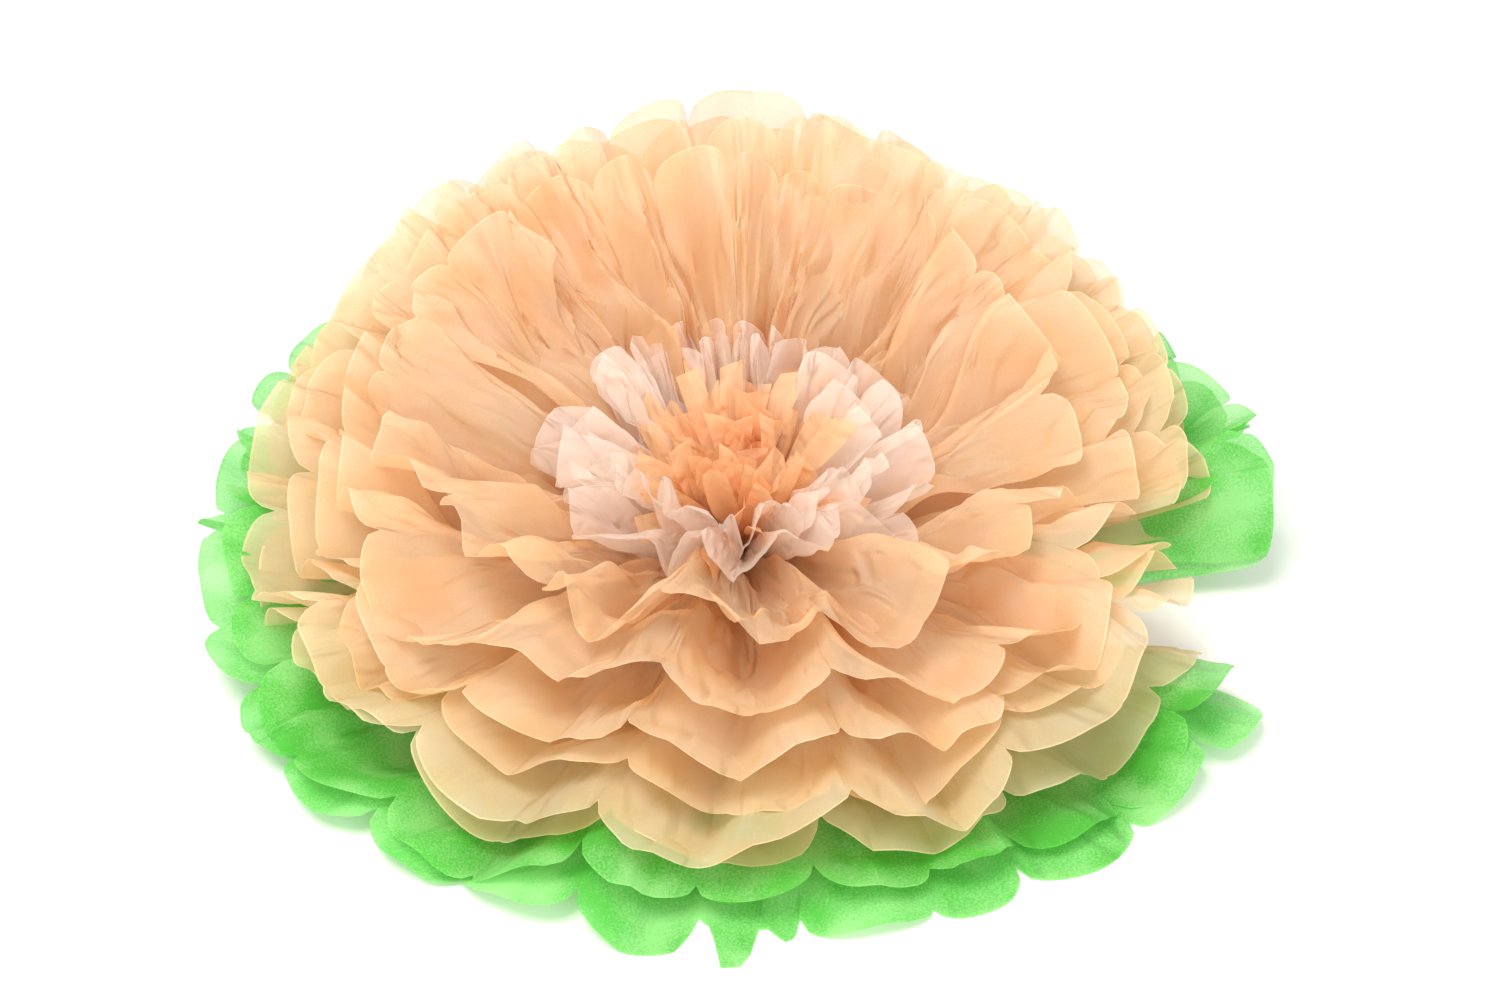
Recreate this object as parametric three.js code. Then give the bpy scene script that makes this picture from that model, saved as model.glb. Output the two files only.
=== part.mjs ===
// Tissue paper flower, laid flat on its leaf sheets.
// Units are millimetres, Z is up, the flower opens upwards and leans back towards +Y.
// Thirteen sheets are pleated together, tied across the waist and fanned out on both sides of the tie.

import * as THREE from 'three';

// Driving dimensions

const PAPER_THICKNESS = 0.5;
const TIE_AZIMUTH = -14;
const SLIT_HALF_WIDTH = 2.2;

// The waist, where the pressed sheets lie on each other under the wire
const WAIST_HEIGHT = 6;
const WAIST_PITCH = 1;
const WAIST_RADIUS = 14;
const WAIST_RADIUS_STEP = 0.75;

// Each sheet is folded across its width into panels of one width
const SHEET_WIDTH = 760;
const PANEL_WIDTH = 50.7;
const PANELS = Math.round(SHEET_WIDTH / PANEL_WIDTH);

// Length of each sheet from the waist to its rim where it reaches farthest
const LEAF_LOWER_LENGTH = 234;
const LEAF_UPPER_LENGTH = 229;
const PETAL_1_LENGTH = 214;
const PETAL_2_LENGTH = 215;
const PETAL_3_LENGTH = 210;
const PETAL_4_LENGTH = 208;
const PETAL_5_LENGTH = 196;
const PETAL_6_LENGTH = 172;
const RING_1_LENGTH = 102;
const RING_2_LENGTH = 92;
const HEART_1_LENGTH = 84;
const HEART_2_LENGTH = 74;
const HEART_3_LENGTH = 62;

// Height of a pleat at the rim, above and below the middle of the sheet, and what gathering adds half way out
const LEAF_PLEAT = 5;
const PETAL_PLEAT = 6;
const INNER_PETAL_PLEAT = 9;
const RING_PLEAT = 6;
const HEART_PLEAT = 4.5;
const PETAL_GATHER = 4;
const RING_GATHER = 1.5;

// Depth of the round cuts in the rim: at the upper creases, and at the lower ones between
const LEAF_CUT = 10;
const LEAF_NICK = 8;
const PETAL_CUT = 11;
const PETAL_NICK = 11;
const FRONT_PETAL_CUT = 13;
const FRONT_PETAL_NICK = 2;
const RING_CUT = 9;
const RING_NICK = 7;

// Least distance between the lower faces of neighbours, and least thickness, where sheets meet the floor
const FLOOR_PITCH = 0.9;
const FLOOR_THICKNESS = 0.35;

// Each list below is read around the flower, every 45 degrees from +X (right) by way of +Y (back)
const PANEL_PITCH = [11, 12.5, 14.5, 12.5, 10.5, 11.5, 12, 12];
const OPENNESS = [0.5, 0.8, 1, 0.8, 0.5, 0.2, 0, 0.2];

// Rows across a sheet from the waist (0) to the rim (1), and places across one panel at its rim
const BROAD_ROWS = [0, 0.26, 0.6];
const RING_ROWS = [0, 0.5];
const BROAD_RIM = [0, 0.14, 0.5, 0.86, 1];
const RING_RIM = [0, 0.2, 0.5, 0.8, 1];

// The fringe of a heart sheet is cut from its rim down to this row, with a small gap at each crease
const FRINGE_ROOT = 0.3;
const FRINGE_BEND = 0.64;
const FRINGE_GAP = 0.05;
const FRINGE_SLANT = 0.16;

const WIRE_RADIUS = 0.6;
const WIRE_CLEARANCE = 0.5;
const WIRE_SIDES = 8;
const TAIL_LENGTH = 21;
const TAIL_TWIST_RADIUS = 0.85;
const TAIL_TURNS = 1.25;

// Kinds of sheet. Wander is how far a crease strays up or down, in degrees, and shared how much of it all
// the petals share. Lap lifts the back fan over the front one at the left, and hem turns down the last panel
// at the right, both in degrees. Each pair of cuts and nicks is read at the front and at the back.
const KINDS = {
  leaf: {
    wander: 0.5, shared: 0, lap: 0.8, hem: 2, gather: 0,
    cut: [LEAF_CUT, LEAF_CUT], nick: [LEAF_NICK, LEAF_NICK],
  },
  petal: {
    wander: 0.8, shared: 1, lap: 1.3, hem: 0, gather: PETAL_GATHER,
    cut: [FRONT_PETAL_CUT, PETAL_CUT], nick: [FRONT_PETAL_NICK, PETAL_NICK],
  },
  ring: {
    wander: 2, shared: 0, lap: 0, hem: 0, gather: RING_GATHER,
    cut: [RING_CUT, RING_CUT], nick: [RING_NICK, RING_NICK],
  },
  heart: { wander: 2.5, shared: 0, lap: 0, hem: 0, gather: 0, cut: [0, 0], nick: [0, 0] },
};

// Sheets from the lowest up. Reach is the share of the length that is left where the sheet is drawn in, rise
// its slope out of the waist and curl its bend on the way out, in degrees. Depth is the height of its pleats
// at the front and at the back. The fans open at the right by the angles for back and front, and lap or
// open at the left by another.
const SHEETS = [
  {
    name: 'leaf_lower', kind: 'leaf', length: LEAF_LOWER_LENGTH, depth: [LEAF_PLEAT, LEAF_PLEAT],
    reach: [1, 1, 1, 1, 1, 0.983, 0.966, 0.983], rise: [5, 6.5, 6.5, 6.5, 5.5, 0, -1.5, -0.5],
    curl: [32, 34, 34, 34, 32, 20, 12, 20], openRight: [7, 10], openLeft: -2.5,
  },
  {
    name: 'leaf_upper', kind: 'leaf', length: LEAF_UPPER_LENGTH, depth: [LEAF_PLEAT, LEAF_PLEAT],
    reach: [1, 1, 1, 1, 1, 0.965, 0.93, 0.965], rise: [7.5, 9, 9, 9, 8, 2.5, 1, 2],
    curl: [32, 34, 34, 34, 32, 20, 12, 20], openRight: [7, 9], openLeft: -2.5,
  },
  {
    name: 'petal_1', kind: 'petal', length: PETAL_1_LENGTH, depth: [PETAL_PLEAT, PETAL_PLEAT],
    reach: [0.935, 0.995, 0.995, 1, 0.991, 0.935, 0.916, 0.935], rise: [12, 17, 20, 17, 11, 6, 4.5, 6],
    curl: [12, 10, 8, 10, 12, 6, 4, 6], openRight: [5, 7], openLeft: -1.5,
  },
  {
    name: 'petal_2', kind: 'petal', length: PETAL_2_LENGTH, depth: [PETAL_PLEAT, PETAL_PLEAT],
    reach: [0.93, 0.991, 0.995, 1, 0.972, 0.958, 0.972, 0.963], rise: [15, 22, 28, 23, 14, 9, 7.5, 9],
    curl: [10, 8, 6, 8, 10, 4, 2, 4], openRight: [4, 5], openLeft: -1.5,
  },
  {
    name: 'petal_3', kind: 'petal', length: PETAL_3_LENGTH, depth: [PETAL_PLEAT, PETAL_PLEAT],
    reach: [0.933, 0.99, 1, 1, 0.952, 0.914, 0.905, 0.914], rise: [18, 27, 36, 29, 17.5, 12.5, 10.5, 12.5],
    curl: [8, 6, 4, 6, 8, 2, 0, 2], openRight: [3, 4], openLeft: -1.5,
  },
  {
    name: 'petal_4', kind: 'petal', length: PETAL_4_LENGTH, depth: [PETAL_PLEAT, PETAL_PLEAT],
    reach: [0.904, 0.971, 1, 0.986, 0.913, 0.904, 0.918, 0.913], rise: [21.5, 33, 43, 35, 21.5, 16, 13.5, 16],
    curl: [6, 5, 4, 5, 6, 0, -4, 0], openRight: [2, 3], openLeft: -1.5,
  },
  {
    name: 'petal_5', kind: 'petal', length: PETAL_5_LENGTH, depth: [PETAL_PLEAT, PETAL_PLEAT],
    reach: [0.908, 0.969, 1, 0.98, 0.898, 0.908, 0.923, 0.918], rise: [25, 39, 48, 40, 26, 20, 18, 20],
    curl: [6, 5, 4, 5, 6, -2, -6, -2], openRight: [1, 1], openLeft: -1.5,
  },
  {
    name: 'petal_6', kind: 'petal', length: PETAL_6_LENGTH, depth: [INNER_PETAL_PLEAT, PETAL_PLEAT],
    reach: [0.93, 0.977, 1, 0.977, 0.93, 0.907, 0.919, 0.919], rise: [31, 46, 53, 46, 32, 27, 27.5, 28],
    curl: [6, 6, 6, 6, 6, -2, -8, -2], openRight: [1, 1], openLeft: -1.5,
  },
  {
    name: 'ring_1', kind: 'ring', length: RING_1_LENGTH, depth: [RING_PLEAT, RING_PLEAT],
    reach: [0.961, 0.961, 0.961, 0.98, 1, 1, 0.98, 0.961], rise: [46, 53, 58, 53, 40, 37, 38, 42],
    curl: [-10, -10, -10, -10, -10, -10, -10, -10], openRight: [0.5, 0.5], openLeft: 0.5,
  },
  {
    name: 'ring_2', kind: 'ring', length: RING_2_LENGTH, depth: [RING_PLEAT, RING_PLEAT],
    reach: [0.978, 0.978, 0.978, 0.989, 1, 1, 0.989, 0.978], rise: [53, 60, 65, 60, 48, 44, 45, 49],
    curl: [-10, -10, -10, -10, -10, -10, -10, -10], openRight: [0.5, 0.5], openLeft: 0.5,
  },
  {
    name: 'heart_1', kind: 'heart', length: HEART_1_LENGTH, depth: [HEART_PLEAT, HEART_PLEAT],
    reach: [1, 1, 1, 1, 1, 1, 1, 1], rise: [60, 67, 72, 67, 56, 52, 53, 57],
    curl: [-6, -6, -6, -6, -6, -6, -6, -6], openRight: [0.5, 0.5], openLeft: 0.5,
  },
  {
    name: 'heart_2', kind: 'heart', length: HEART_2_LENGTH, depth: [HEART_PLEAT, HEART_PLEAT],
    reach: [1, 1, 1, 1, 1, 1, 1, 1], rise: [68, 74, 78, 74, 65, 61, 62, 65],
    curl: [-6, -6, -6, -6, -6, -6, -6, -6], openRight: [0.5, 0.5], openLeft: 0.5,
  },
  {
    name: 'heart_3', kind: 'heart', length: HEART_3_LENGTH, depth: [HEART_PLEAT, HEART_PLEAT],
    reach: [1, 1, 1, 1, 1, 1, 1, 1], rise: [76, 80, 83, 80, 74, 71, 72, 74],
    curl: [-6, -6, -6, -6, -6, -6, -6, -6], openRight: [0.5, 0.5], openLeft: 0.5,
  },
];

const BACK = 1;
const FRONT = -1;
const RADIANS = Math.PI / 180;

// Small numbers that differ from crease to crease but are always the same

function fixedRandom(number) {
  const x = Math.sin(number * 12.9898 + 4.137) * 43758.5453;
  return x - Math.floor(x);
}

function wander(a, b, c) {
  return 2 * fixedRandom(a * 17.31 + b * 3.73 + c * 91.7) - 1;
}

// Smooth reading of a list of eight values at any azimuth

function around(values, azimuth) {
  const t = (((azimuth % 360) + 360) % 360) / 45;
  const i = Math.floor(t);
  const f = t - i;
  const [before, here, next, after] = [7, 0, 1, 2].map((k) => values[(i + k) % 8]);
  const bend = 2 * before - 5 * here + 4 * next - after;
  const turn = 3 * (here - next) + after - before;
  return here + 0.5 * f * (next - before + f * (bend + f * turn));
}

// Share of the fan that lies left of each crease

function creaseShares(side) {
  const shares = [0];
  for (let k = 0; k < PANELS; k += 1) {
    const turn = (180 / PANELS) * (k + 0.5);
    const azimuth = side === BACK ? TIE_AZIMUTH + 180 - turn : TIE_AZIMUTH + 180 + turn;
    shares.push(shares[k] + around(PANEL_PITCH, azimuth));
  }
  return shares.map((share) => share / shares[PANELS]);
}

// Depth of the round cut at a place across half a panel: 1 at the crease, 0 at mid panel

function roundCut(x) {
  return 1 - Math.sqrt(1 - (1 - 2 * Math.min(x, 0.5)) ** 2);
}

// One place on a sheet: u counts panels from the left edge, s runs from the waist to the rim

function placeOnSheet(sheet, index, shares, side, u, s) {
  const kind = KINDS[sheet.kind];
  const waist = WAIST_RADIUS - WAIST_RADIUS_STEP * index;
  const k = Math.min(Math.floor(u), PANELS - 1);
  const x = u - k;
  const share = shares[k] + (shares[k + 1] - shares[k]) * x;
  const openLeft = sheet.openLeft;
  const openRight = sheet.openRight[side === BACK ? 0 : 1];

  const rimTurn = 180 - openLeft - (180 - openLeft - openRight) * share;
  const rimAzimuth = TIE_AZIMUTH + side * rimTurn;
  const open = around(OPENNESS, rimAzimuth);
  const mix = (pair) => pair[0] + (pair[1] - pair[0]) * open;
  const acrossPanel = (value) => value(k) + (value(k + 1) - value(k)) * x;

  // Length out to the scalloped rim
  const fromRidge = k % 2 === 0 ? x : 1 - x;
  const cut = mix(kind.cut) * roundCut(fromRidge) + mix(kind.nick) * roundCut(1 - fromRidge);
  const trim = 1 + 0.012 * acrossPanel((c) => wander(index, c, 5 + side));
  const length = (sheet.length * around(sheet.reach, rimAzimuth) - cut) * trim;

  // Rise of this place's line out of the waist, and its curl
  const own = kind.wander * acrossPanel((c) => wander(index, c, 2 + side));
  const common = kind.shared * (0.8 + 1.6 * open) * acrossPanel((c) => wander(77, c, 2 + side));
  const nearLeft = Math.min(Math.max(1 - u / 1.5, 0), 1);
  const nearRight = side === BACK ? Math.max(u - PANELS + 2, 0) : 0;
  const hem = kind.hem * (nearRight > 1 ? 3 - 2 * nearRight : nearRight);
  const lift = (own + common) * (1 - nearLeft) + nearLeft * side * kind.lap + hem;
  const rise = around(sheet.rise, rimAzimuth) + lift;
  const curl = around(sheet.curl, rimAzimuth) * RADIANS;
  const start = rise * RADIANS - curl / 2;
  const slope = start + curl * s;
  let radius = waist + length * s * Math.cos(start);
  let height = WAIST_HEIGHT + WAIST_PITCH * index + length * s * Math.sin(start);
  if (Math.abs(curl) > 1e-4) {
    radius = waist + (length * (Math.sin(slope) - Math.sin(start))) / curl;
    height = WAIST_HEIGHT + WAIST_PITCH * index;
    height += (length * (Math.cos(start) - Math.cos(slope))) / curl;
  }

  // Pleat: up at every second crease, down at the ones between
  const zigzag = k % 2 === 0 ? 1 - 2 * x : 2 * x - 1;
  const uneven = 0.3 * acrossPanel((c) => wander(50, c, 5 + side));
  const ownUneven = 0.1 * acrossPanel((c) => wander(index, c, 9 + side));
  const depth = mix(sheet.depth) * s ** 1.1 + kind.gather * Math.sin(Math.PI * s);
  const pleat = depth * (1 + uneven + ownUneven) * zigzag;
  radius -= pleat * Math.sin(slope);
  height += pleat * Math.cos(slope);

  // Azimuth: the fans stand clear of the tie by the slit, then open or lap with the distance
  const clear = Math.asin(Math.min(SLIT_HALF_WIDTH / Math.max(radius, SLIT_HALF_WIDTH), 1));
  const left = clear / RADIANS + openLeft * s;
  const right = clear / RADIANS + openRight * s;
  const azimuth = (TIE_AZIMUTH + side * (180 - left - (180 - left - right) * share)) * RADIANS;

  // The two faces of the paper, kept on or above the floor
  const half = PAPER_THICKNESS / 2;
  const outward = s === 0 ? Math.tan(start / 2) : Math.sin(slope);
  const upward = s === 0 ? 1 : Math.cos(slope);
  const lowHeight = Math.max(height - half * upward, FLOOR_PITCH * index);
  const highHeight = Math.max(height + half * upward, lowHeight + FLOOR_THICKNESS);
  const at = (r, z) => [r * Math.cos(azimuth), r * Math.sin(azimuth), z];
  return {
    high: at(radius - half * outward, highHeight),
    low: at(radius + half * outward, lowHeight),
  };
}

// Closed plate from a patch of triangles that lies between a high and a low face

function closedPlate(places, triangles) {
  const count = places.length;
  const positions = [...places.map((p) => p.high), ...places.map((p) => p.low)].flat();
  const indices = [];
  const edges = new Set();
  for (const [a, b, c] of triangles) {
    indices.push(a, b, c, c + count, b + count, a + count);
    edges.add(`${a},${b}`).add(`${b},${c}`).add(`${c},${a}`);
  }
  for (const edge of edges) {
    const [a, b] = edge.split(',').map(Number);
    if (!edges.has(`${b},${a}`)) {
      indices.push(b, a, a + count, b, a + count, b + count);
    }
  }
  const geometry = new THREE.BufferGeometry();
  geometry.setAttribute('position', new THREE.Float32BufferAttribute(positions, 3));
  geometry.setIndex(indices);
  geometry.computeVertexNormals();
  return geometry;
}

// Rows, columns and the cells between them for one fan of a broad sheet

function broadCells(kindName, vertex) {
  const rows = kindName === 'ring' ? RING_ROWS : BROAD_ROWS;
  const rim = kindName === 'ring' ? RING_RIM : BROAD_RIM;
  const triangles = [];
  for (let k = 0; k < PANELS; k += 1) {
    for (let r = 0; r + 1 < rows.length; r += 1) {
      const a = vertex(k, rows[r]);
      const b = vertex(k + 1, rows[r]);
      const c = vertex(k + 1, rows[r + 1]);
      const d = vertex(k, rows[r + 1]);
      triangles.push([a, b, c], [a, c, d]);
    }
    const left = vertex(k, rows[rows.length - 1]);
    const right = vertex(k + 1, rows[rows.length - 1]);
    const lobe = rim.map((x) => vertex(k + x, 1));
    triangles.push([left, lobe[1], lobe[0]], [left, lobe[2], lobe[1]], [left, right, lobe[2]]);
    triangles.push([right, lobe[3], lobe[2]], [right, lobe[4], lobe[3]]);
  }
  return triangles;
}

// Rows, columns and cells for one fan of a heart sheet, with its fringe of slanting strips

function fringeCells(index, side, vertex) {
  const triangles = [];
  const cell = (u0, u1, low0, low1, high0, high1) => {
    const a = vertex(u0, low0);
    const b = vertex(u1, low1);
    const c = vertex(u1, high1);
    const d = vertex(u0, high0);
    triangles.push([a, b, c], [a, c, d]);
  };
  for (let k = 0; k < PANELS; k += 1) {
    const u0 = k + FRINGE_GAP;
    const u1 = k + 1 - FRINGE_GAP;
    cell(u0, u1, 0, 0, FRINGE_ROOT, FRINGE_ROOT);
    if (k + 1 < PANELS) {
      cell(u1, k + 1 + FRINGE_GAP, 0, 0, FRINGE_ROOT, FRINGE_ROOT);
    }
    cell(u0, u1, FRINGE_ROOT, FRINGE_ROOT, FRINGE_BEND, FRINGE_BEND);
    const slant = wander(index, k, 30 + side);
    const tip0 = 1 - FRINGE_SLANT * Math.max(slant, 0);
    const tip1 = 1 + FRINGE_SLANT * Math.min(slant, 0);
    cell(u0, u1, FRINGE_BEND, FRINGE_BEND, tip0, tip1);
  }
  return triangles;
}

// A whole sheet: the back fan, the front fan and the pressed waist that joins them

function sheetGeometry(sheet, index) {
  const places = [];
  const triangles = [];
  const known = new Map();
  const rings = [];
  for (const side of [BACK, FRONT]) {
    const shares = creaseShares(side);
    const vertex = (u, s) => {
      const key = `${side},${u.toFixed(4)},${s.toFixed(4)}`;
      if (!known.has(key)) {
        known.set(key, places.length);
        places.push(placeOnSheet(sheet, index, shares, side, u, s));
      }
      return known.get(key);
    };
    let columns = [];
    for (let k = 0; k < PANELS; k += 1) {
      columns.push(...(sheet.kind === 'heart' ? [k + FRINGE_GAP, k + 1 - FRINGE_GAP] : [k, k + 1]));
    }
    columns = columns.filter((u, place) => place === 0 || u !== columns[place - 1]);
    const ring = columns.map((u) => vertex(u, 0));
    const cells = sheet.kind === 'heart'
      ? fringeCells(index, side, vertex)
      : broadCells(sheet.kind, vertex);
    triangles.push(...(side === BACK ? cells : cells.map(([a, b, c]) => [a, c, b])));
    rings.push(...(side === BACK ? ring.reverse() : ring));
  }
  const level = WAIST_HEIGHT + WAIST_PITCH * index;
  const centre = places.length;
  places.push({
    high: [0, 0, level + PAPER_THICKNESS / 2],
    low: [0, 0, level - PAPER_THICKNESS / 2],
  });
  rings.forEach((vertex, place) => {
    triangles.push([centre, vertex, rings[(place + 1) % rings.length]]);
  });
  return closedPlate(places, triangles);
}

// The tie: one wire from its twisted tail, up through the slits, over the waist and back

function tiePath() {
  const last = SHEETS.length - 1;
  const reach = PAPER_THICKNESS / 2 + WIRE_CLEARANCE + WIRE_RADIUS;
  const low = WAIST_HEIGHT - reach;
  const high = WAIST_HEIGHT + WAIST_PITCH * last + reach;
  const wide = WAIST_RADIUS + 1.9;
  const narrow = WAIST_RADIUS - WAIST_RADIUS_STEP * last + 1.9;
  const along = new THREE.Vector3(Math.cos(TIE_AZIMUTH * RADIANS), Math.sin(TIE_AZIMUTH * RADIANS), 0);
  const across = new THREE.Vector3(-along.y, along.x, 0);
  const at = (q, w, z) => new THREE.Vector3(0, 0, z).addScaledVector(along, q).addScaledVector(across, w);
  const tailHeight = TAIL_TWIST_RADIUS + WIRE_RADIUS + 0.15;
  const steps = 10;
  const strand = (half) => {
    const points = [];
    for (let i = 0; i <= steps; i += 1) {
      const turn = Math.PI * half + (2 * Math.PI * TAIL_TURNS * i) / steps;
      const w = 2.5 + ((TAIL_LENGTH - 2.5) * i) / steps;
      const q = TAIL_TWIST_RADIUS * Math.cos(turn);
      points.push(at(q, -w, tailHeight + TAIL_TWIST_RADIUS * Math.sin(turn)));
    }
    return points;
  };
  return new THREE.CatmullRomCurve3([
    ...strand(0).reverse(),
    at(4.5, -0.8, low - 1.2),
    at(9, 0, low),
    at(wide - 1, 0, low + 0.3),
    at(wide, 0, low + 2),
    at((wide + narrow) / 2, 0, (low + high) / 2),
    at(narrow + 0.5, 0, high - 1.5),
    at(narrow - 1.5, 0, high),
    at(0, 0, high),
    at(1.5 - narrow, 0, high),
    at(-narrow - 0.5, 0, high - 1.5),
    at(-(wide + narrow) / 2, 0, (low + high) / 2),
    at(-wide, 0, low + 2),
    at(1 - wide, 0, low + 0.3),
    at(-9, 0, low),
    at(-4.5, -0.8, low - 1.2),
    ...strand(1),
  ], false, 'centripetal');
}

function tieGeometry() {
  const section = new THREE.Shape();
  for (let i = 0; i < WIRE_SIDES; i += 1) {
    const turn = (2 * Math.PI * i) / WIRE_SIDES;
    section[i === 0 ? 'moveTo' : 'lineTo'](WIRE_RADIUS * Math.cos(turn), WIRE_RADIUS * Math.sin(turn));
  }
  section.closePath();
  return new THREE.ExtrudeGeometry(section, { extrudePath: tiePath(), steps: 36, curveSegments: 1 });
}

// Colours of the tissue and the wire

const MATERIALS = {
  leaf: new THREE.MeshStandardMaterial({ color: 0x78d258, roughness: 0.9, metalness: 0 }),
  petal: new THREE.MeshStandardMaterial({ color: 0xfac49a, roughness: 0.9, metalness: 0 }),
  ring: new THREE.MeshStandardMaterial({ color: 0xf6cab2, roughness: 0.9, metalness: 0 }),
  heart: new THREE.MeshStandardMaterial({ color: 0xf89f59, roughness: 0.9, metalness: 0 }),
  tie: new THREE.MeshStandardMaterial({ color: 0xd8d8d4, roughness: 0.35, metalness: 1 }),
};
for (const material of Object.values(MATERIALS)) {
  material.side = THREE.DoubleSide;
}

const flower = new THREE.Group();
SHEETS.forEach((sheet, index) => {
  const mesh = new THREE.Mesh(sheetGeometry(sheet, index), MATERIALS[sheet.kind]);
  mesh.name = sheet.name;
  flower.add(mesh);
});

const tie = new THREE.Mesh(tieGeometry(), MATERIALS.tie);
tie.name = 'tie_wire';
flower.add(tie);

// The origin goes under the middle of the flower's outer box, on the floor

const box = new THREE.Box3().setFromObject(flower);
flower.position.set(-(box.min.x + box.max.x) / 2, -(box.min.y + box.max.y) / 2, -box.min.z);

export default flower;
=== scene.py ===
"""Tissue paper flower: fine sheets, fringe, tie, materials, light and camera."""

import math

import bpy
import numpy as np
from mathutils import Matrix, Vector


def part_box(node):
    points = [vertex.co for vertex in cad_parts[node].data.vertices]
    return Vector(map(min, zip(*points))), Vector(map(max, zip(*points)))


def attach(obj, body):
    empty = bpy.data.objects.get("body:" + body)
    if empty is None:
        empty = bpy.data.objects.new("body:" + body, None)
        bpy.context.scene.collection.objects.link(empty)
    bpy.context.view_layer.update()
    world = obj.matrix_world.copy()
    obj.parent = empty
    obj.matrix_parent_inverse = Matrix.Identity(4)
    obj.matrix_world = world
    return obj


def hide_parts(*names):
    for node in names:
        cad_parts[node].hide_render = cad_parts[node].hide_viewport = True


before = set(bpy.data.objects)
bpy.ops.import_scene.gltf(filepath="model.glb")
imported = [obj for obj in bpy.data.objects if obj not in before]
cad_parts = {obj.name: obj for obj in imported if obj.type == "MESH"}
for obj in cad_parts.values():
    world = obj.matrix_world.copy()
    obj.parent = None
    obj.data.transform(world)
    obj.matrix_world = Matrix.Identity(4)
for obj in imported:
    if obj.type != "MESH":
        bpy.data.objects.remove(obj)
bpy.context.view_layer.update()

# Form of the sheets, in millimetres and degrees

TIE_AZIMUTH = -14.0
SLIT_HALF_WIDTH = 2.2
WAIST_HEIGHT = 6.0
WAIST_PITCH = 1.0
WAIST_RADIUS = 14.0
WAIST_RADIUS_STEP = 0.75
PANELS = 15
PANEL_WIDTH = 50.7
PANEL_PITCH = [11, 12.5, 14.5, 12.5, 10.5, 11.5, 12, 12]
OPENNESS = [0.5, 0.8, 1, 0.8, 0.5, 0.2, 0, 0.2]
BACK, FRONT = 1, -1

# Lowest place of a sheet over the floor: a gap for the first, and a step for each one above it
FLOOR_GAP = 0.25
FLOOR_PITCH = 0.9

# The trim of the rim, as a share of the length, and the depth of the pleats, as shares of it, differ from
# crease to crease. The first share of the depth is common to all sheets, and the second is each sheet's own.
TRIM_UNEVEN = 0.012
DEPTH_UNEVEN = 0.3
OWN_DEPTH_UNEVEN = 0.1
DEPTH_POWER = 1.1
LAP_PANELS = 1.5
LEAST_CURL = 1e-4

# Hem of the coarse and the fine sheets: its fold, in panels from where the last two begin, and how many
# times as steep as its rise its fall is
COARSE_HEM = (1, 2)
FINE_HEM = (1.5, 3)

# What grows with openness: the first is its least, and the second is added where the flower is wide open
COMMON_WANDER = (0.8, 1.6)
LOOSENESS = (0.5, 0.7)
SOFTNESS = (0.15, 0.5)

# Only in the fine sheets: long waves of the rim, as a share of the length, and the degrees of azimuth that
# one of them and one drift of a tier take. Then how much deeper the gather is, and from where on along the
# sheet a lobe turns, how fast crumples set in, and the width and length of a long wave of the paper, in mm.
RIM_WAVE = 0.035
RIM_WAVE_SPAN = 26
DRIFT_SPAN = 34
FINE_GATHER = 1.5
LOBE_FROM = 0.55
CRUMPLES_SET_IN = 1.9
WAVE_WIDTH, WAVE_LENGTH = 60, 75

# Sharp folds of one fine fan. Of each pair, the first is the least and the second the room above it
CRUMPLES = 170
CRUMPLE_SKEW = math.radians(38)
CRUMPLE_OUT = (0.15, 0.9)
CRUMPLE_LENGTH = (22, 50)
CRUMPLE_WIDTH = (12, 20)
CRUMPLE_STEEP = (0.10, 0.16)

# A narrow tab that sticks out at the front of the lowest leaf sheet. The pairs are degrees to each side of
# it: where the scallops set in, where the tab ends, and where the notch beside it sets in and ends.
TAB_AZIMUTH = -91.0
TAB_LENGTH = 5.0
TAB_NOTCH = 13.0
SCALLOPS_FROM = (1.2, 3.0)
TAB_EDGE = (1.4, 2.2)
NOTCH_FROM = (1.6, 2.6)
NOTCH_TO = (3.5, 6.5)

# Kinds of sheet, with angles in degrees and heights in mm. Wander, shared, lap, hem and gather are those of
# the solids, apart from the hem, which is 3 here and 2 there. The rest is what the coarse solids leave out:
# bow of a panel, turn of its lobe, crumples, long waves, stray of a crease from its line and sway of it to
# the side, notch, which is how many times as deep the rim is cut, merge, by which share the nicks differ, and
# drift of a tier up and down.
KINDS = {
    "leaf": dict(wander=0.5, shared=0, lap=0.8, hem=3, gather=0, bow=2.0, turn=6, crumple=3.2, wave=2.2,
                 stray=0.5, sway=1.2, notch=1.6, merge=0.2, drift=0.8),
    "petal": dict(wander=0.8, shared=1, lap=1.3, hem=0, gather=4, bow=4.0, turn=10, crumple=2.8, wave=6.5,
                  stray=0.65, sway=3.2, notch=1.1, merge=0.3, drift=3.5),
    "ring": dict(wander=2, shared=0, lap=0, hem=0, gather=1.5, bow=3.0, turn=12, crumple=2.2, wave=4.0,
                 stray=0.4, sway=5.0, notch=1.4, merge=0.6, drift=5.0),
    "heart": dict(wander=2.5, shared=0, lap=0, hem=0, gather=0, bow=0, turn=0, crumple=0.3, wave=0.5,
                  stray=0, sway=0, notch=1.0, merge=0, drift=0),
}


def sheet(name, kind, length, rise, curl, depth, cut, nick, right, left, further=(0,) * 8, wider=(0, 0)):
    return dict(name=name, kind=kind, length=length, rise=rise, curl=curl, depth=depth, cut=cut, nick=nick,
                right=right, left=left, further=further, wider=wider)


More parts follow.
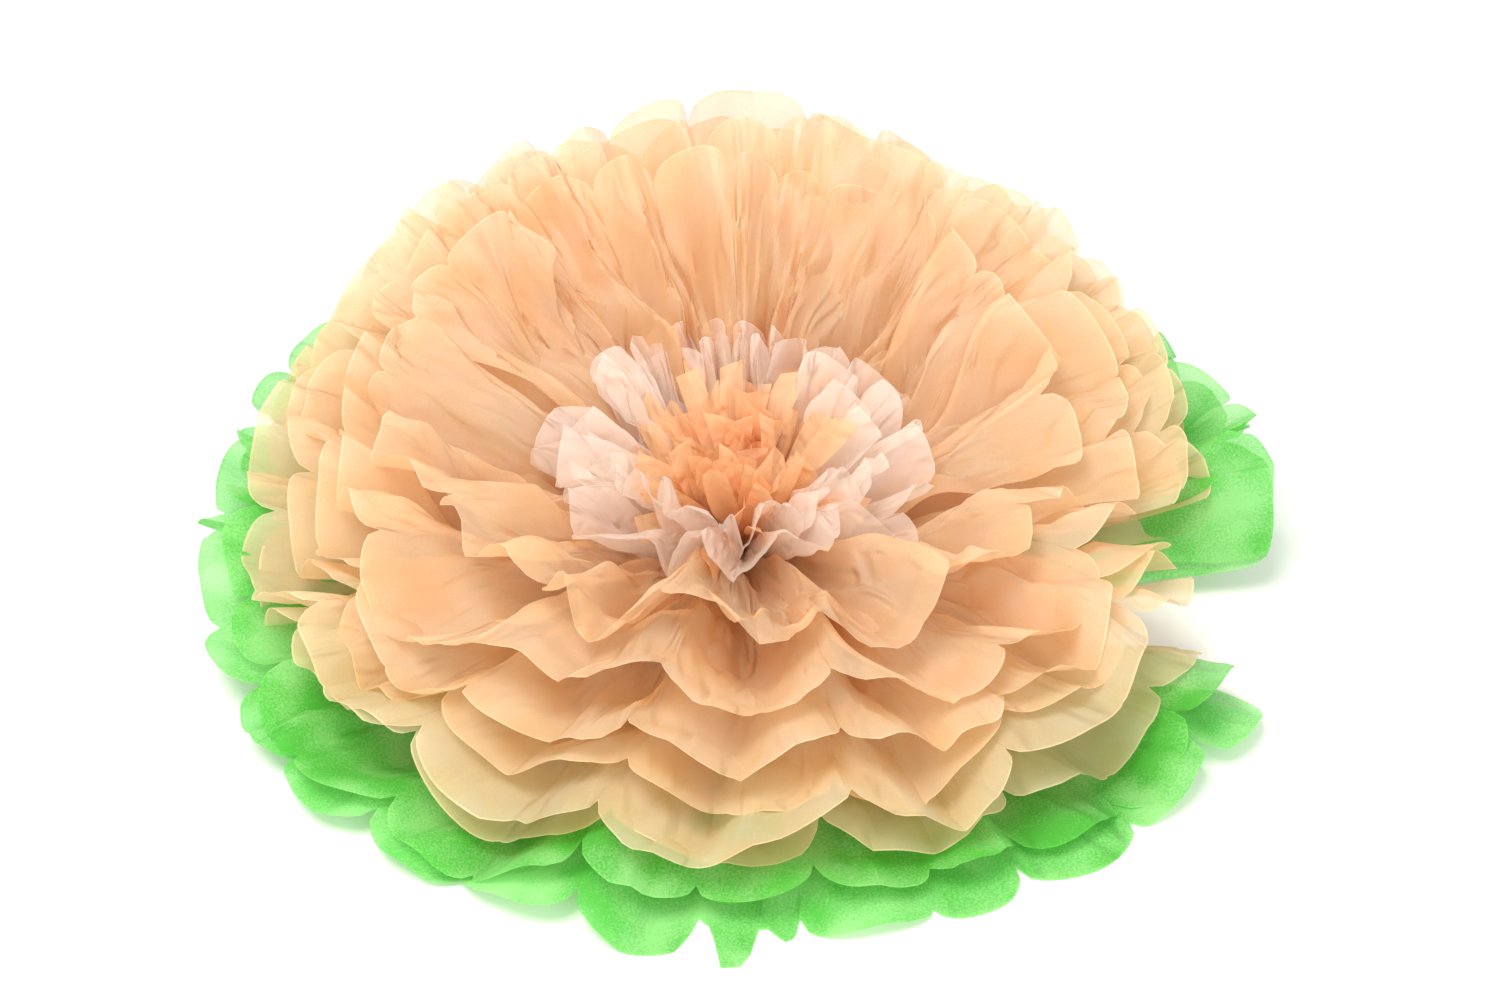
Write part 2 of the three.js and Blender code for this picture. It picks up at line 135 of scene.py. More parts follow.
# Length, rise and curl are read around the flower, every 45 degrees from the right by way of the back.
# Depth, cut and nick are read at the front and at the back, and right in the back fan and the front fan.
# All these are those of the solids, with lengths in whole millimetres, apart from the front cut of petal_1,
# which is 12 here and 13 there.
# Further and wider hold for the fine sheet alone: how much further it reaches around the flower, in mm, and
# how much wider its back and front fans are opened at the slit, in degrees.
SHEETS = [
    sheet("leaf_lower", "leaf", [234, 234, 234, 234, 234, 230, 226, 230],
          [5, 6.5, 6.5, 6.5, 5.5, 0, -1.5, -0.5], [32, 34, 34, 34, 32, 20, 12, 20],
          (5, 5), (10, 10), (8, 8), (7, 10), -2.5, (6, 0, 0, 0, 0, 0, 0, -3), (1.5, 0)),
    sheet("leaf_upper", "leaf", [229, 229, 229, 229, 229, 221, 213, 221],
          [7.5, 9, 9, 9, 8, 2.5, 1, 2], [32, 34, 34, 34, 32, 20, 12, 20],
          (5, 5), (10, 10), (8, 8), (7, 9), -2.5, (6, 0, 0, 0, 0, 0, 0, -2), (1.5, 0)),
    sheet("petal_1", "petal", [200, 213, 213, 214, 212, 200, 196, 200],
          [12, 17, 20, 17, 11, 6, 4.5, 6], [12, 10, 8, 10, 12, 6, 4, 6],
          (6, 6), (12, 11), (2, 11), (5, 7), -1.5, wider=(4.5, 0)),
    sheet("petal_2", "petal", [200, 213, 214, 215, 209, 206, 209, 207],
          [15, 22, 28, 23, 14, 9, 7.5, 9], [10, 8, 6, 8, 10, 4, 2, 4],
          (6, 6), (13, 11), (2, 11), (4, 5), -1.5, wider=(5, 1)),
    sheet("petal_3", "petal", [196, 208, 210, 210, 200, 192, 190, 192],
          [18, 27, 36, 29, 17.5, 12.5, 10.5, 12.5], [8, 6, 4, 6, 8, 2, 0, 2],
          (6, 6), (13, 11), (2, 11), (3, 4), -1.5, wider=(4, 1)),
    sheet("petal_4", "petal", [188, 202, 208, 205, 190, 188, 191, 190],
          [21.5, 33, 43, 35, 21.5, 16, 13.5, 16], [6, 5, 4, 5, 6, 0, -4, 0],
          (6, 6), (13, 11), (2, 11), (2, 3), -1.5, (0, 0, 0, 2, 7, 2, 0, 0), (2, 1)),
    sheet("petal_5", "petal", [178, 190, 196, 192, 176, 178, 181, 180],
          [25, 39, 48, 40, 26, 20, 18, 20], [6, 5, 4, 5, 6, -2, -6, -2],
          (6, 6), (13, 11), (2, 11), (1, 1), -1.5, (0, 0, 0, 5, 10, 4, 0, 0)),
    sheet("petal_6", "petal", [160, 168, 172, 168, 160, 156, 158, 158],
          [31, 46, 53, 46, 32, 27, 27.5, 28], [6, 6, 6, 6, 6, -2, -8, -2],
          (9, 6), (13, 11), (2, 11), (1, 1), -1.5, (0, 0, 1, 11, 15, 7, 0, 0)),
    sheet("ring_1", "ring", [98, 98, 98, 100, 102, 102, 100, 98],
          [46, 53, 58, 53, 40, 37, 38, 42], [-10] * 8, (6, 6), (9, 9), (7, 7), (0.5, 0.5), 0.5),
    sheet("ring_2", "ring", [90, 90, 90, 91, 92, 92, 91, 90],
          [53, 60, 65, 60, 48, 44, 45, 49], [-10] * 8, (6, 6), (9, 9), (7, 7), (0.5, 0.5), 0.5),
    sheet("heart_1", "heart", [84] * 8, [60, 67, 72, 67, 56, 52, 53, 57],
          [-6] * 8, (4.5, 4.5), (0, 0), (0, 0), (0.5, 0.5), 0.5),
    sheet("heart_2", "heart", [74] * 8, [68, 74, 78, 74, 65, 61, 62, 65],
          [-6] * 8, (4.5, 4.5), (0, 0), (0, 0), (0.5, 0.5), 0.5),
    sheet("heart_3", "heart", [62] * 8, [76, 80, 83, 80, 74, 71, 72, 74],
          [-6] * 8, (4.5, 4.5), (0, 0), (0, 0), (0.5, 0.5), 0.5),
]


def fixed_random(number):
    """A number from 0 to 1 that is always the same for the same number."""
    x = np.sin(np.asarray(number, float) * 12.9898 + 4.137) * 43758.5453
    return x - np.floor(x)


def wander(a, b, c):
    """A number from -1 to 1 that is always the same for the same three."""
    return 2 * fixed_random(a * 17.31 + b * 3.73 + c * 91.7) - 1


def around(values, azimuth):
    """Smooth reading of eight values, one for each 45 degrees, at any azimuth."""
    v = np.asarray(values, float)
    t = (np.asarray(azimuth, float) % 360) / 45
    i = np.floor(t).astype(int)
    f = t - i
    p0, p1, p2, p3 = (v[(i + k) % 8] for k in (-1, 0, 1, 2))
    bend = 2 * p0 - 5 * p1 + 4 * p2 - p3
    return p1 + 0.5 * f * (p2 - p0 + f * (bend + f * (3 * (p1 - p2) + p3 - p0)))


def smooth_step(low, high, value):
    t = np.clip((value - low) / (high - low), 0, 1)
    return t * t * (3 - 2 * t)


def value_noise(x, y, seed):
    """Smooth noise from -1 to 1 on a unit lattice."""
    i, j = np.floor(x), np.floor(y)
    fx, fy = smooth_step(0, 1, x - i), smooth_step(0, 1, y - j)

    def corner(a, b):
        return 2 * fixed_random((i + a) * 1.37 + (j + b) * 57.91 + seed * 13.7) - 1

    low = corner(0, 0) * (1 - fx) + corner(1, 0) * fx
    high = corner(0, 1) * (1 - fx) + corner(1, 1) * fx
    return low * (1 - fy) + high * fy


def crumples(wide, along, reach, seed):
    """Height, in mm, of many short sharp folds that run mostly out from the waist."""
    height = np.zeros(np.broadcast(wide, along).shape)
    for i in range(CRUMPLES):
        draw = [float(fixed_random(seed * 7.7 + i * 1.93 + c * 31.1)) for c in range(11)]
        from_side = wide - PANELS * PANEL_WIDTH * draw[1]
        from_middle = along - reach * (CRUMPLE_OUT[0] + CRUMPLE_OUT[1] * draw[2])
        angle = CRUMPLE_SKEW * (draw[3] + draw[4] + draw[5] - 1.5) * (1 if draw[6] > 0.25 else 3)
        length = CRUMPLE_LENGTH[0] + CRUMPLE_LENGTH[1] * draw[7]
        width = CRUMPLE_WIDTH[0] + CRUMPLE_WIDTH[1] * draw[8]
        steep = (CRUMPLE_STEEP[0] + CRUMPLE_STEEP[1] * draw[9]) * (1 if draw[10] > 0.5 else -1)
        off = from_side * math.cos(angle) - from_middle * math.sin(angle)
        run = from_side * math.sin(angle) + from_middle * math.cos(angle)
        height += steep * np.abs(off) * np.exp(-((off / width) ** 2) - (run / length) ** 2)
    return height


def crease_shares(side):
    """Share of the fan that lies left of each crease."""
    k = np.arange(PANELS) + 0.5
    azimuth = TIE_AZIMUTH + 180 - side * 180 / PANELS * k
    shares = np.concatenate([[0], np.cumsum(around(PANEL_PITCH, azimuth))])
    return shares / shares[-1]


def round_cut(x):
    """Depth of a round cut across half a panel: 1 at the crease and 0 from the middle on."""
    return 1 - np.sqrt(np.clip(1 - (1 - 2 * np.minimum(x, 0.5)) ** 2, 0, 1))


def leave_tab(cut, rim_azimuth):
    """Leave the tab in the rim, with a notch to each side of it."""
    off = np.abs(rim_azimuth - TAB_AZIMUTH)
    cut = cut * smooth_step(*SCALLOPS_FROM, off) - TAB_LENGTH * (1 - smooth_step(*TAB_EDGE, off))
    return cut + TAB_NOTCH * smooth_step(*NOTCH_FROM, off) * (1 - smooth_step(*NOTCH_TO, off))


class Fan:
    """Places on one fan of a sheet: u counts panels from the left, s runs from the waist to the rim.

    The coarse fan follows the solids. The fine one adds what is too fine for them.
    """

    def __init__(self, index, side, u, s, fine):
        self.index, self.side, self.fine = index, side, fine
        self.sheet = SHEETS[index]
        self.kind = KINDS[self.sheet["kind"]]
        self.u, self.s = np.broadcast_arrays(np.asarray(u, float), np.asarray(s, float))
        self.panel = np.clip(np.floor(self.u).astype(int), 0, PANELS - 1)
        self.x = self.u - self.panel
        self.edge = np.minimum(np.minimum(self.u, PANELS - self.u), 1)
        self.share = np.interp(self.u, np.arange(PANELS + 1), crease_shares(side))
        fan = 0 if side == BACK else 1
        self.left = self.sheet["left"]
        self.right = self.sheet["right"][fan] + (self.sheet["wider"][fan] if fine else 0)
        self.rim_azimuth = self.azimuth(self.left, self.right)
        self.opened = around(OPENNESS, self.rim_azimuth)
        self.loose = self.grown(LOOSENESS)

    def azimuth(self, from_left, from_right):
        """Azimuth in degrees where the fan keeps these angles from the tie at its two ends."""
        return TIE_AZIMUTH + self.side * (180 - from_left - (180 - from_left - from_right) * self.share)

    def mix(self, pair):
        """Value between the one at the front and the one at the back."""
        return pair[0] + (pair[1] - pair[0]) * self.opened

    def grown(self, pair):
        """The least of a value, and what is added to it with openness."""
        return pair[0] + pair[1] * self.opened

    def from_crease_to_crease(self, first, last):
        """A number from -1 to 1 that differs between creases and runs straight from one to the next."""
        here = wander(first, self.panel, last + self.side)
        return here + (wander(first, self.panel + 1, last + self.side) - here) * self.x

    def cut(self):
        """How far the rim is cut back, in mm: a round cut at each ridge and a nick at each valley."""
        from_ridge = np.where(self.panel % 2 == 0, self.x, 1 - self.x)
        ridge_cut, nick = self.mix(self.sheet["cut"]), self.mix(self.sheet["nick"])
        if self.fine:
            at_nick = self.panel + (self.panel % 2 == 0)
            merged = self.kind["merge"] * (wander(self.index, at_nick, 71 + self.side) - 0.6)
            ridge_cut = ridge_cut * self.kind["notch"]
            nick = nick * self.kind["notch"] * (1 + merged)
        cut = ridge_cut * round_cut(from_ridge) + nick * round_cut(1 - from_ridge)
        if self.fine and self.sheet["name"] == "leaf_lower":
            cut = leave_tab(cut, self.rim_azimuth)
        return cut

    def length(self):
        """Length of the paper from the waist to its rim, in mm."""
        cut = self.cut()
        trim = 1 + TRIM_UNEVEN * self.from_crease_to_crease(self.index, 5)
        if self.fine:
            place = self.rim_azimuth / RIM_WAVE_SPAN + self.index * 3.3
            trim = trim + RIM_WAVE * self.loose * value_noise(place, self.index * 1.9, 47)
            cut = cut - around(self.sheet["further"], self.rim_azimuth)
        return (around(self.sheet["length"], self.rim_azimuth) - cut) * trim

    def hem(self):
        """Rise, in degrees, of the back fan's last two panels up to a fold, and their fall beyond it."""
        near_right = np.maximum(self.u - PANELS + 2, 0) if self.side == BACK else 0 * self.u
        fold, fall = FINE_HEM if self.fine else COARSE_HEM
        return self.kind["hem"] * np.where(near_right > fold, fold - fall * (near_right - fold), near_right)

    def lift(self):
        """What each place's line has above the rise of its sheet, in degrees."""
        own = self.kind["wander"] * self.from_crease_to_crease(self.index, 2)
        common = self.kind["shared"] * self.grown(COMMON_WANDER) * self.from_crease_to_crease(77, 2)
        drift = 0
        if self.fine:
            place = self.rim_azimuth / DRIFT_SPAN + self.index * 5.1
            drift = self.kind["drift"] * self.loose * value_noise(place, self.index * 2.7, 31)
        near_left = np.clip(1 - self.u / LAP_PANELS, 0, 1)
        lap = near_left * self.side * self.kind["lap"]
        return (own + common + drift) * (1 - near_left) + lap + self.hem()

    def curled_line(self, length):
        """Radius and height of the curled sheet before it is pleated, in mm, and its slope."""
        curl = np.radians(around(self.sheet["curl"], self.rim_azimuth))
        curl = np.where(np.abs(curl) < LEAST_CURL, LEAST_CURL, curl)
        start = np.radians(around(self.sheet["rise"], self.rim_azimuth) + self.lift()) - curl / 2
        slope = start + curl * self.s
        waist = WAIST_RADIUS - WAIST_RADIUS_STEP * self.index
        radius = waist + length * (np.sin(slope) - np.sin(start)) / curl
        height = WAIST_HEIGHT + WAIST_PITCH * self.index
        height = height + length * (np.cos(start) - np.cos(slope)) / curl
        return radius, height, slope

    def pleats(self):
        """Height of the pleats, up at every second crease. Fine ones stray, and soften where pulled open."""
        pleat_u = self.u
        if self.fine:
            stray = self.kind["stray"] * value_noise(self.u * 0.9, self.s * 3, self.index * 5 + self.side)
            pleat_u = self.u + stray * np.sin(math.pi * self.s) * self.edge
        panel = np.clip(np.floor(pleat_u).astype(int), 0, PANELS - 1)
        x = pleat_u - panel
        zigzag = np.where(panel % 2 == 0, 1 - 2 * x, 2 * x - 1)
        if self.fine:
            soft = self.grown(SOFTNESS) * self.s
            zigzag = zigzag * (1 - soft) + np.sin(zigzag * math.pi / 2) * soft
        uneven = DEPTH_UNEVEN * self.from_crease_to_crease(50, 5)
        uneven = uneven + OWN_DEPTH_UNEVEN * self.from_crease_to_crease(self.index, 9)
        gather = self.kind["gather"] * (FINE_GATHER if self.fine else 1)
        depth = self.mix(self.sheet["depth"]) * self.s**DEPTH_POWER + gather * np.sin(math.pi * self.s)
        return depth * (1 + uneven) * zigzag

    def relief(self, length):
        """Height of bows, turned lobes, crumples and long waves, in mm."""
        middle = np.sin(math.pi * self.x)
        bow = self.kind["bow"] * wander(self.index, self.panel + 40, 11 + self.side) * self.s**1.3
        turned = self.kind["turn"] * (0.4 + wander(self.index, self.panel + 80, 13 + self.side))
        panels = self.loose * middle * (bow + turned * smooth_step(LOBE_FROM, 1.0, self.s))
        wide, along = self.u * PANEL_WIDTH, self.s * length
        creased = crumples(wide, along, float(np.max(length)), self.index * 3 + self.side)
        place = wide / WAVE_WIDTH + self.index * 0.21, along / WAVE_LENGTH + self.index * 0.16
        paper = self.kind["crumple"] * creased + self.kind["wave"] * value_noise(*place, self.side + 60)
        return panels + np.minimum(self.s * CRUMPLES_SET_IN, 1) * self.loose * paper

    def points(self):
        """Points of the sheet at these places, in mm from the waist."""
        length = self.length()
        radius, height, slope = self.curled_line(length)
        out, sway = self.pleats(), 0
        if self.fine:
            out = out + self.relief(length)
            sway = self.kind["sway"] * self.s * self.edge * self.from_crease_to_crease(self.index, 23)
        radius = radius - out * np.sin(slope)
        height = np.maximum(height + out * np.cos(slope), FLOOR_GAP + FLOOR_PITCH * self.index)
        clear = np.minimum(SLIT_HALF_WIDTH / np.maximum(radius, SLIT_HALF_WIDTH), 1)
        clear = np.degrees(np.arcsin(clear))
        azimuth = self.azimuth(clear + self.left * self.s, clear + self.right * self.s) + sway
        azimuth = np.radians(azimuth)
        return np.stack([radius * np.cos(azimuth), radius * np.sin(azimuth), height], -1)


def on_sheet(index, side, u, s, fine=True):
    return Fan(index, side, u, s, fine).points()


# The sheets are worked out from the waist, and the solids' origin is under the middle of their box. This
# shift, in mm, takes the sheets to the solids. It is read from the coarse leaf_lower, so that one has to
# keep the values of the solids.
low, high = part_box("leaf_lower")
edges = [on_sheet(0, side, np.linspace(0, PANELS, PANELS * 50 + 1), 1.0, False) for side in (BACK, FRONT)]
edges = np.concatenate(edges)
SHIFT = np.array([
    (low.x + high.x) * 500 - (edges[:, 0].min() + edges[:, 0].max()) / 2,
    (low.y + high.y) * 500 - (edges[:, 1].min() + edges[:, 1].max()) / 2,
    0,
])

# Meshes of the sheets. Columns crowd towards the creases and rows towards the rim

SHARP_ANGLE = math.radians(26)
COLUMNS_AND_ROWS = {"leaf": (14, 58), "petal": (14, 58), "ring": (10, 32)}
COLUMN_CROWDING = 0.05
ROW_CROWDING = 0.85
PLACE_PER_PANEL = 0.05


class Paper:
    """Points, faces and the place on the sheet (across, out) of one piece of paper while it is built."""

    def __init__(self):
        self.points, self.faces, self.places, self.count = [], [], [], 0

    def add(self, points, faces, places):
        first = self.count
        points = np.asarray(points, float).reshape(-1, 3)
        self.points.append(points)
        self.places.append(np.asarray(places, float).reshape(-1, 2))
        self.faces.extend(tuple(int(v) + first for v in f) for f in faces)
        self.count += len(points)
        return first

    def build(self, name):
        points = (np.concatenate(self.points) + SHIFT) / 1000
        places = np.concatenate(self.places)
        mesh = bpy.data.meshes.new(name)
        mesh.from_pydata(points.tolist(), [], self.faces)
        corner = np.empty(len(mesh.loops), dtype=np.int32)
        mesh.loops.foreach_get("vertex_index", corner)
        layer = mesh.uv_layers.new(name="UVMap")
        layer.data.foreach_set("uv", places[corner].astype(np.float32).ravel())
        mesh.update()
        mesh.shade_smooth()
        mesh.set_sharp_from_angle(angle=SHARP_ANGLE)
        piece = bpy.data.objects.new(name, mesh)
        bpy.context.scene.collection.objects.link(piece)
        return piece


def grid_faces(rows, columns, flip=False):
    r, c = np.meshgrid(np.arange(rows - 1), np.arange(columns - 1), indexing="ij")
    a = r * columns + c
    quads = np.stack([a, a + 1, a + columns + 1, a + columns], -1).reshape(-1, 4)
    return quads[:, ::-1] if flip else quads


def add_fans(paper, index, u, s):
    """Both fans over the given places, and the pressed waist that joins them."""
    rings = []
    for side in (BACK, FRONT):
        uu, ss = np.meshgrid(u, s)
        places = np.stack([uu * PLACE_PER_PANEL + side, ss], -1)
        first = paper.add(on_sheet(index, side, uu, ss), grid_faces(len(s), len(u), side == FRONT), places)
        ring = first + np.arange(len(u))
        rings.append(ring[::-1] if side == BACK else ring)
    ring = np.concatenate(rings)
    centre = paper.count
    fan = [(0, a - centre, b - centre) for a, b in zip(ring, np.roll(ring, -1))]
    paper.add([[0, 0, WAIST_HEIGHT + WAIST_PITCH * index]], fan, [[0, 0]])


def broad_sheet(index):
    """A leaf, petal or ring sheet."""
    sh = SHEETS[index]
    columns, rows = COLUMNS_AND_ROWS[sh["kind"]]
    x = np.linspace(0, 1, columns + 1)
    x = x - COLUMN_CROWDING * np.sin(2 * math.pi * x)
    u = np.append((np.arange(PANELS)[:, None] + x[None, :-1]).ravel(), PANELS)
    s = np.linspace(0, 1, rows) ** ROW_CROWDING
    paper = Paper()
    add_fans(paper, index, u, s)
    return paper.build(sh["name"] + "_paper")


# Fringe of the heart, in millimetres and degrees. Lengths and places out from the waist are shares of the
# sheet's length. Of each pair, the first is the middle and the second how far a strip may be from it.

ROOT = 0.3
ROOT_OVERLAP = 0.05
STRIP_OVERLAP = 0.03
STRIP_ROWS, STRIP_COLUMNS = 12, 7
STRIP_TURN = 24
STRIP_RISE = 18
STEEPEST = 98
STRIP_LENGTH = (0.93, 0.13)
STRIP_WIDTH = (12.0, 2.2)
STRIP_BEND = (-10, 38)
STRIP_TWIST = 85
STRIP_FOLD = (0.16, 0.16)
STRIP_SLANT = (0.42, 0.3)
STRIP_RIPPLE = 0.6

# Shares of a strip's twist and width at its root, how fast it widens, and from where on its end slants
ROOT_TWIST = 0.25
ROOT_WIDTH = 0.45
WIDENING = 2.6
SLANT_FROM = 0.5

# Width and distance of the strips in the map of the paper
STRIP_PLACE_WIDTH = 0.012
STRIP_PLACE_PITCH = 0.37


def bent_strip(rise, bend, length, t, reach):
    """Radius and height from the root, and slope, of a strip that bends on its way out."""
    slope = rise + bend * t
    step = length / (STRIP_ROWS - 1)
    radius = np.concatenate([[0], np.cumsum(np.cos(slope[:-1, 0]) * step)])
    height = np.concatenate([[0], np.cumsum(np.sin(slope[:-1, 0]) * step)])
    beyond = np.maximum(reach - length, 0)
    radius = np.interp(reach, t[:, 0] * length, radius) + beyond * math.cos(slope[-1, 0])
    height = np.interp(reach, t[:, 0] * length, height) + beyond * math.sin(slope[-1, 0])
    return radius, height, slope


def strip_points(index, side, panel, t, v):
    """Points of one strip, which stands at its own angle: t runs out from its root and v across it."""

    def draw(c):
        return float(wander(index * 5 + side, panel, c))

    near_root = np.array([ROOT - ROOT_OVERLAP, ROOT + ROOT_OVERLAP])
    base, ahead = on_sheet(index, side, np.array([panel + 0.5] * 2), near_root)
    azimuth = math.atan2(base[1], base[0]) + math.radians(STRIP_TURN * draw(61))
    rise = math.atan2(ahead[2] - base[2], math.hypot(*ahead[:2]) - math.hypot(*base[:2]))
    rise = min(rise + math.radians(STRIP_RISE * draw(62)), math.radians(STEEPEST))
    length = SHEETS[index]["length"][0] * (1 - ROOT + STRIP_OVERLAP)
    length = length * (STRIP_LENGTH[0] + STRIP_LENGTH[1] * draw(63))
    width = STRIP_WIDTH[0] + STRIP_WIDTH[1] * draw(64)
    bend = math.radians(STRIP_BEND[0] + STRIP_BEND[1] * draw(65))
    fold = (STRIP_FOLD[0] + STRIP_FOLD[1] * draw(67)) * (1 if draw(71) > -0.3 else -1)
    slant = (STRIP_SLANT[0] + STRIP_SLANT[1] * draw(68)) * (1 if draw(69) > 0 else -1)

    reach = t * length + width * slant * v * smooth_step(SLANT_FROM, 1.0, t)
    radius, height, slope = bent_strip(rise, bend, length, t, reach)
    turn = math.radians(STRIP_TWIST * draw(66)) * (ROOT_TWIST + (1 - ROOT_TWIST) * t)
    width_here = width * (ROOT_WIDTH + (1 - ROOT_WIDTH) * np.minimum(t * WIDENING, 1))
    flat = v * width_here
    raised = (np.abs(v) * 2 - 0.5) * fold * width_here
    across = flat * np.cos(turn) - raised * np.sin(turn)
    off = flat * np.sin(turn) + raised * np.cos(turn) + STRIP_RIPPLE * np.sin(t * 7 + panel + v * 3)
    out = np.array([math.cos(azimuth), math.sin(azimuth), 0])
    sideways = np.array([-math.sin(azimuth), math.cos(azimuth), 0])
    points = base + (radius - off * np.sin(slope))[..., None] * out + across[..., None] * sideways
    points[..., 2] += height + off * np.cos(slope)
    return points


def heart_sheet(index):
    """A short sheet cut into a fringe of slanting strips above its pleated root."""
    paper = Paper()
    add_fans(paper, index, np.linspace(0, PANELS, PANELS * 4 + 1), np.linspace(0, ROOT + ROOT_OVERLAP, 6))
    t = np.linspace(0, 1, STRIP_ROWS)[:, None]
    v = np.linspace(-0.5, 0.5, STRIP_COLUMNS)[None, :]
    for side in (BACK, FRONT):
        for panel in range(PANELS):
            points = strip_points(index, side, panel, t, v)
            across = v * STRIP_PLACE_WIDTH + panel * STRIP_PLACE_PITCH
            places = np.stack(np.broadcast_arrays(across, ROOT + (1 - ROOT) * t), -1)
            paper.add(points, grid_faces(STRIP_ROWS, STRIP_COLUMNS), places)
    return paper.build(SHEETS[index]["name"] + "_paper")


# Materials. The numbers of the painted rim highlight are places out along the sheet, and the share of
# clearness that is left there, so that the cut rim shows as a bright line

FIBRE_MIX = 0.3
GLOW_SHARE = 0.45
CREASE_HEIGHT = 0.004
CREASES_ACROSS, CREASES_OUT = 90.0, 6.0
HIGHLIGHT_RIM_FROM, HIGHLIGHT_RIM_TO = 0.994, 0.999
RIM_HIGHLIGHT_CLEARNESS = 0.35


def graph(material):
    """An empty node tree, with a function that adds a node to it and one that links two sockets."""
    material.use_nodes = True
    tree = material.node_tree
    tree.nodes.clear()

    def node(kind, **settings):
        n = tree.nodes.new(kind)
        for key, value in settings.items():
            if key in n.inputs:
                n.inputs[key].default_value = value
            else:
                setattr(n, key, value)
        return n

    return node, tree.links.new


def colour_ramp(node, stops):
    ramp = node("ShaderNodeValToRGB")
    elements = ramp.color_ramp.elements
    while len(elements) < len(stops):
        elements.new(0.5)
    for element, (place, colour) in zip(elements, stops):
        element.position = place
        element.color = (*colour, 1)
    return ramp


def multiply(node, link, first):
    """A node that multiplies a colour by another, which is left to be set or linked at its input 7."""
    mix = node("ShaderNodeMix", data_type="RGBA", blend_type="MULTIPLY")
    mix.inputs[0].default_value = 1.0
    link(first, mix.inputs[6])
    return mix


def fibre_tones(node, link, where, pale, deep):
    """Cloudy paper between two tones, with fine fibres."""
    cloud = node("ShaderNodeTexNoise", Scale=38.0, Detail=1.0, Roughness=0.6)
    fibre = node("ShaderNodeTexNoise", Scale=1100.0, Detail=0.0)
    for texture in (cloud, fibre):
        link(where.outputs["Object"], texture.inputs["Vector"])
    mottle = node("ShaderNodeMix", data_type="FLOAT")
    mottle.inputs["Factor"].default_value = FIBRE_MIX
    link(cloud.outputs["Fac"], mottle.inputs[2])
    link(fibre.outputs["Fac"], mottle.inputs[3])
    ramp = colour_ramp(node, [(0.38, deep), (0.62, pale)])
    link(mottle.outputs[0], ramp.inputs["Fac"])
    return ramp.outputs["Color"]


def fine_creases(node, link, where):
    """Bump of creases that run out from the waist."""
    spread = node("ShaderNodeMapping")
    spread.inputs["Scale"].default_value = (CREASES_ACROSS, CREASES_OUT, 1.0)
    link(where.outputs["UV"], spread.inputs["Vector"])
    streak = node("ShaderNodeTexNoise", noise_type="RIDGED_MULTIFRACTAL", Scale=1.0, Detail=1.0,
                  Distortion=0.5)
    link(spread.outputs["Vector"], streak.inputs["Vector"])
    bump = node("ShaderNodeBump", Strength=1.0, Distance=CREASE_HEIGHT)
    link(streak.outputs["Fac"], bump.inputs["Height"])
    return bump.outputs["Normal"]


def lit_paper(node, link, colour, normal, glow_tint):
    """Paper that is lit from its face and glows with what comes through it."""
    passed = multiply(node, link, colour)
    passed.inputs[7].default_value = (*glow_tint, 1)
    face = node("ShaderNodeBsdfPrincipled", Roughness=0.65)
    face.inputs["Specular IOR Level"].default_value = 0.3
    link(colour, face.inputs["Base Color"])
    link(normal, face.inputs["Normal"])
    glow = node("ShaderNodeBsdfTranslucent")
    link(passed.outputs[2], glow.inputs["Color"])
    link(normal, glow.inputs["Normal"])
    paper = node("ShaderNodeMixShader")
    paper.inputs["Fac"].default_value = GLOW_SHARE
    link(face.outputs[0], paper.inputs[1])
    link(glow.outputs[0], paper.inputs[2])
    return paper.outputs[0]


def see_through(node, link, out, paper, clear_tint, clear_share):
    """Paper that is clear between its fibres, and less so along the cut rim, which paints a highlight line
    there.
    """
    clear = node("ShaderNodeBsdfTransparent")
    clear.inputs["Color"].default_value = (*clear_tint, 1)
    # Painted highlight: a narrow strip along the rim is drawn less clear, so that the cut edge shows as a
    # bright line
    painted_rim_highlight = node("ShaderNodeMapRange")
    painted_rim_highlight.inputs["From Min"].default_value = HIGHLIGHT_RIM_FROM
    painted_rim_highlight.inputs["From Max"].default_value = HIGHLIGHT_RIM_TO
    painted_rim_highlight.inputs["To Min"].default_value = clear_share
    painted_rim_highlight.inputs["To Max"].default_value = clear_share * RIM_HIGHLIGHT_CLEARNESS
    link(out, painted_rim_highlight.inputs["Value"])
    mixed = node("ShaderNodeMixShader")
    link(painted_rim_highlight.outputs["Result"], mixed.inputs["Fac"])
    link(paper, mixed.inputs[1])
    link(clear.outputs[0], mixed.inputs[2])
    return mixed.outputs[0]


def tissue(name, pale, deep, root, glow_tint, clear_tint, clear_share, clear_shadow=False):
    """Thin tissue, with painted shade near the gathered root, where its folds and the sheets above shade it.
    """
    material = bpy.data.materials.new(name)
    material.use_transparent_shadow = clear_shadow
    node, link = graph(material)
    where = node("ShaderNodeTexCoord")
    place = node("ShaderNodeSeparateXYZ")
    link(where.outputs["UV"], place.inputs[0])
    # Painted shade: the colour grows darker and deeper towards the gathered root, where the layers shade each
    # other
    painted_root_shade = colour_ramp(node, [(0.12, root), (0.6, (1, 1, 1))])
    link(place.outputs["Y"], painted_root_shade.inputs["Fac"])
    colour = multiply(node, link, fibre_tones(node, link, where, pale, deep))
    link(painted_root_shade.outputs["Color"], colour.inputs[7])
    normal = fine_creases(node, link, where)
    paper = lit_paper(node, link, colour.outputs[2], normal, glow_tint)
    surface = see_through(node, link, place.outputs["Y"], paper, clear_tint, clear_share)
    link(surface, node("ShaderNodeOutputMaterial").inputs["Surface"])
    return material


